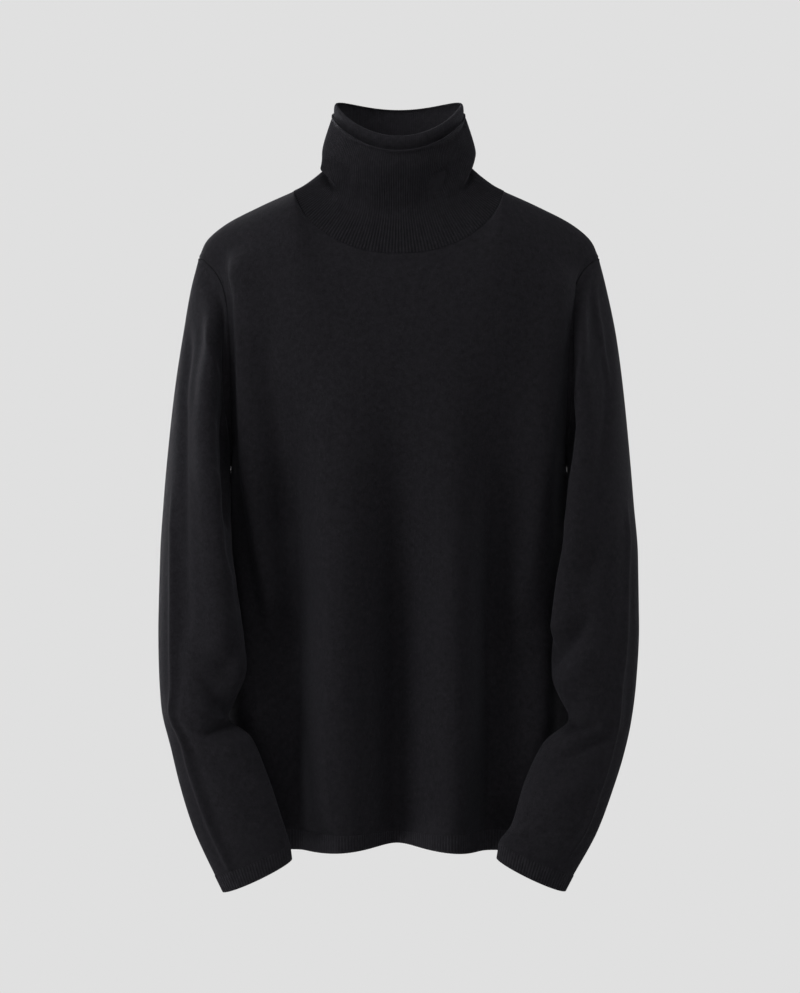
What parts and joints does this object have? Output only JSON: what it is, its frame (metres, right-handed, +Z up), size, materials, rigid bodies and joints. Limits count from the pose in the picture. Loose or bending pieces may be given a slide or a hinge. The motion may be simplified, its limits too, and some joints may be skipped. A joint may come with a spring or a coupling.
{
  "type": "turtleneck sweater",
  "caption": "Fine-knit charcoal sweater with a high layered turtleneck collar, long set-in sleeves and ribbed hem and cuffs, filled out as if worn but empty.",
  "frame": {"origin": "inside the base of the neck, level with the foot of the collar at its sides, where the wearer's neck and shoulders carry the sweater", "axes": "+Z up along the body, front towards -Y, +X to the right as seen from the front"},
  "size_m": [0.4825, 0.2386, 0.797],
  "materials": {
    "body_knit": "matte fine jersey knit with a soft nap",
    "welt_rib": "matte fine rib knit",
    "collar_rib": "matte fine rib knit with a rolled free edge"
  },
  "bodies": {
    "root": {"front_panel": "body_knit", "back_panel": "body_knit", "sleeve_left": "body_knit", "sleeve_right": "body_knit", "hem_rib_front": "welt_rib", "hem_rib_back": "welt_rib", "cuff_rib_left": "welt_rib", "cuff_rib_right": "welt_rib", "collar_outer": "collar_rib", "collar_inner": "collar_rib"}
  },
  "joints": []
}
